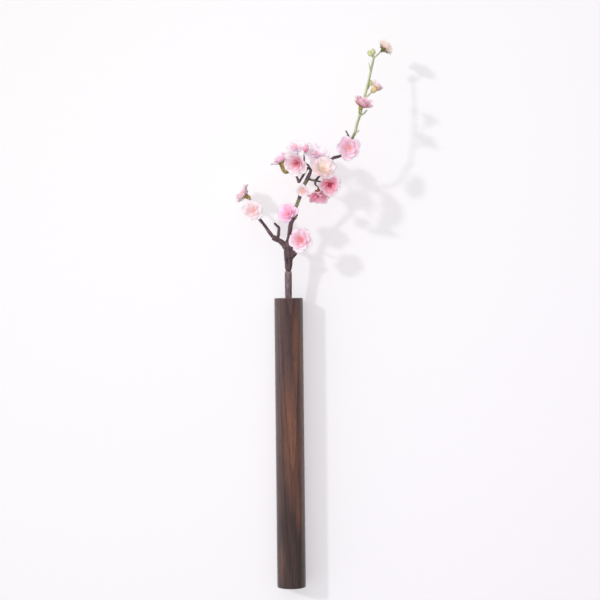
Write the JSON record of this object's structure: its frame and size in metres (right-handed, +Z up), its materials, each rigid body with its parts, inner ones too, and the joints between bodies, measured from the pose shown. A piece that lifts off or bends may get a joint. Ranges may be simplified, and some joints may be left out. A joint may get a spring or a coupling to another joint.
{
  "type": "hanging wall vase",
  "caption": "Round dark wooden tube vase that hangs on a wall by a keyhole plate, with a glass water tube and a removable artificial blossom spray that plugs together.",
  "frame": {"origin": "centre of the keyhole hanger's entry hole, on the wall plane at the vase's planed back", "axes": "+Z up along the vase, +Y into the wall, +X to the right as seen from the room"},
  "size_m": [0.1633, 0.0679, 0.5639],
  "materials": {
    "dark_hardwood": "oiled, satin",
    "clear_glass": "clear",
    "zinc_steel": "zinc plated",
    "screw_steel": "zinc plated",
    "bark_plastic": "moulded bark",
    "green_plastic": "moulded, pale green",
    "calyx_olive": "moulded, olive brown",
    "calyx_green": "moulded, green",
    "bud_green": "moulded, light green",
    "stamen_yellow": "moulded, straw yellow",
    "petal_pink": "thin woven fabric",
    "petal_pale": "thin woven fabric",
    "petal_lilac": "thin woven fabric",
    "petal_deep": "thin woven fabric"
  },
  "bodies": {
    "vase": {"vase_body": "dark_hardwood", "keyhole_plate": "zinc_steel", "hanger_screws": "screw_steel"},
    "liner": {"water_tube": "clear_glass"},
    "stem": {"lower_stem": "bark_plastic"},
    "spray": {"trunk": "bark_plastic", "crown_branch": "bark_plastic", "crown_left_twig": "bark_plastic", "crown_side_twig": "bark_plastic", "right_twig": "bark_plastic", "pink_bud": "petal_deep", "crown_stamens": "stamen_yellow", "blossom_03_petals": "petal_lilac", "blossom_03_calyx": "calyx_olive", "blossom_04_petals": "petal_pale", "blossom_04_calyx": "calyx_olive", "blossom_05_petals": "petal_lilac", "blossom_05_calyx": "calyx_olive", "blossom_06_petals": "petal_deep", "blossom_06_calyx": "calyx_olive", "blossom_07_petals": "petal_pink", "blossom_07_calyx": "calyx_olive", "blossom_09_petals": "petal_lilac", "blossom_09_calyx": "calyx_olive", "blossom_10_petals": "petal_pale", "blossom_10_calyx": "calyx_olive", "blossom_11_petals": "petal_pale", "blossom_11_calyx": "calyx_olive", "blossom_12_petals": "petal_deep", "blossom_12_calyx": "calyx_olive", "blossom_13_petals": "petal_deep", "blossom_13_calyx": "calyx_olive", "blossom_14_petals": "petal_pink", "blossom_14_calyx": "calyx_olive"},
    "left_twig": {"left_twig": "bark_plastic", "left_twig_stamens": "stamen_yellow", "blossom_01_petals": "petal_pink", "blossom_01_calyx": "calyx_olive", "blossom_02_petals": "petal_pale", "blossom_02_calyx": "calyx_olive"},
    "green_shoot": {"green_shoot": "green_plastic", "green_buds": "bud_green", "green_shoot_stamens": "stamen_yellow", "blossom_15_petals": "petal_pink", "blossom_15_calyx": "calyx_green", "blossom_16_petals": "petal_pale", "blossom_16_calyx": "calyx_green", "blossom_17_petals": "petal_pale", "blossom_17_calyx": "calyx_green"}
  },
  "joints": [
    {"name": "liner_lift", "type": "slide", "parent": "vase", "child": "liner", "axis": [0, 0, 1], "range_m": [0, 0.08]},
    {"name": "stem_lift", "type": "slide", "parent": "liner", "child": "stem", "axis": [0, -0.1373, 0.9905], "range_m": [0, 0.08]},
    {"name": "spray_turn", "type": "hinge", "parent": "stem", "child": "spray", "pos_m": [0, -0.0221, 0.13753], "axis": [0, -0.1373, 0.9905], "continuous": true},
    {"name": "left_twig_turn", "type": "hinge", "parent": "spray", "child": "left_twig", "pos_m": [-0.015, -0.02245, 0.17282], "axis": [-0.5937, 0.1472, 0.7911], "continuous": true},
    {"name": "shoot_turn", "type": "hinge", "parent": "spray", "child": "green_shoot", "pos_m": [0.068, -0.0506, 0.27391], "axis": [0.473, -0.0537, 0.8794], "continuous": true}
  ]
}
